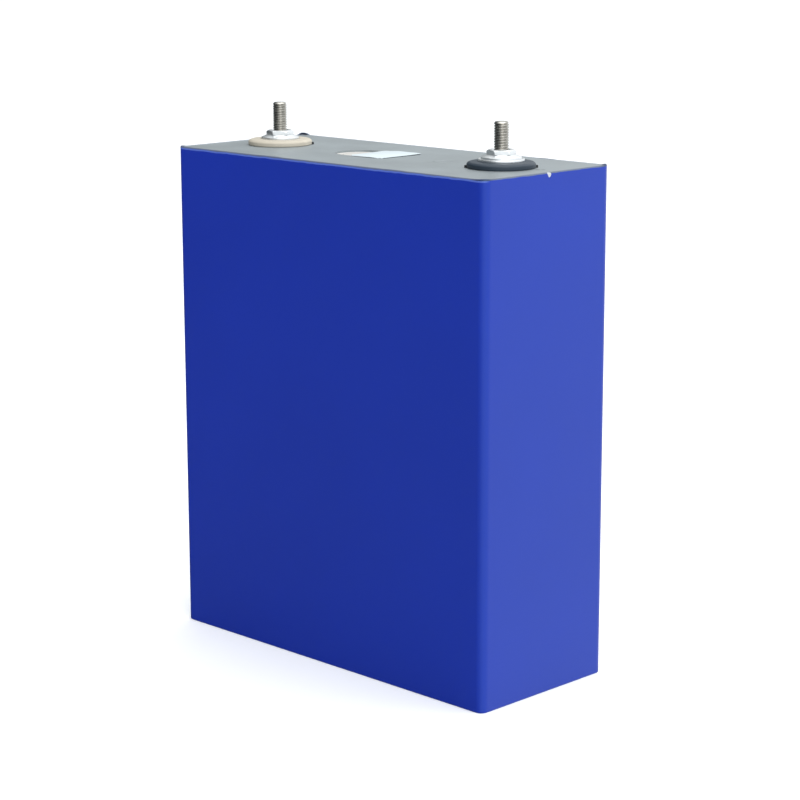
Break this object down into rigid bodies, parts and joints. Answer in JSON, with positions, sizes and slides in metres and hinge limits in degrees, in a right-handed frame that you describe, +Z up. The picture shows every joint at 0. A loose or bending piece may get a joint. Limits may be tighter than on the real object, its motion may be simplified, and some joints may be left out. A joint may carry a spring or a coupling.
{
  "type": "prismatic battery cell",
  "caption": "Upright prismatic cell: film-wrapped aluminium can, flush lid with a burst vent, and threaded stud terminals with washer-faced nuts.",
  "frame": {"origin": "centre of the underside, on the film under the can", "axes": "+Z up through the lid towards the stud tips; +X from the cream-ringed (positive) terminal to the black-ringed (negative) one; +Y towards the rear broad face"},
  "size_m": [0.174, 0.0716, 0.2223],
  "materials": {
    "film_blue": "semi-gloss PET film",
    "can_aluminium": "drawn, satin",
    "lid_aluminium": "matt rolled plate",
    "vent_aluminium": "bright thin sheet",
    "vent_film_white": "thin white film",
    "stopper_rubber": "matt",
    "gasket_black": "matt",
    "ring_cream": "moulded, slight sheen",
    "ring_black": "moulded, slight sheen",
    "pole_aluminium": "machined",
    "pole_copper": "machined copper",
    "stud_steel": "rolled thread",
    "plated_steel": "bright plating",
    "inner_plastic": "moulded, plain",
    "bag_film": "thin translucent film",
    "electrode_winding": "matt coated foil edges",
    "separator": "matt porous film",
    "tape_green": "adhesive tape",
    "tab_aluminium": "bright foil",
    "tab_copper": "bright copper foil"
  },
  "bodies": {
    "cell": {"film_sleeve": "film_blue", "film_base": "film_blue", "can": "can_aluminium", "lid_plate": "lid_aluminium", "vent_disc": "vent_aluminium", "vent_film": "vent_film_white", "fill_stopper": "stopper_rubber", "fill_cap": "lid_aluminium", "pos_gasket": "gasket_black", "neg_gasket": "gasket_black", "pos_seal": "gasket_black", "neg_seal": "gasket_black", "pos_ring": "ring_cream", "neg_ring": "ring_black", "pos_post": "pole_aluminium", "neg_post": "pole_copper", "pos_stud": "stud_steel", "neg_stud": "stud_steel", "lid_insulator": "inner_plastic", "pos_collector": "pole_aluminium", "neg_collector": "pole_copper", "insulation_bag": "bag_film", "bottom_tray": "inner_plastic", "front_core": "electrode_winding", "rear_core": "electrode_winding", "front_wrap": "separator", "rear_wrap": "separator", "front_tape": "tape_green", "rear_tape": "tape_green", "front_pos_tabs": "tab_aluminium", "rear_pos_tabs": "tab_aluminium", "front_neg_tabs": "tab_copper", "rear_neg_tabs": "tab_copper"},
    "pos_washer": {"pos_cone_washer": "plated_steel"},
    "pos_nut": {"pos_nut": "plated_steel"},
    "neg_washer": {"neg_washer": "plated_steel", "neg_cone_washer": "plated_steel"},
    "neg_nut": {"neg_nut": "plated_steel"}
  },
  "joints": [
    {"name": "pos_washer_lift", "type": "slide", "parent": "cell", "child": "pos_washer", "axis": [0, 0, 1], "range_m": [0, 0.01]},
    {"name": "pos_nut_spin", "type": "hinge", "parent": "pos_washer", "child": "pos_nut", "pos_m": [-0.0625, 0, 0.21], "axis": [0, 0, 1], "range_deg": [0, 3600]},
    {"name": "neg_washer_lift", "type": "slide", "parent": "cell", "child": "neg_washer", "axis": [0, 0, 1], "range_m": [0, 0.01]},
    {"name": "neg_nut_spin", "type": "hinge", "parent": "neg_washer", "child": "neg_nut", "pos_m": [0.0625, 0, 0.21], "axis": [0, 0, 1], "range_deg": [0, 3600]}
  ],
  "couplings": [
    {"joint": "pos_nut_spin", "follows": "pos_washer_lift", "rad_per_m": 6283.2},
    {"joint": "neg_nut_spin", "follows": "neg_washer_lift", "rad_per_m": 6283.2}
  ]
}
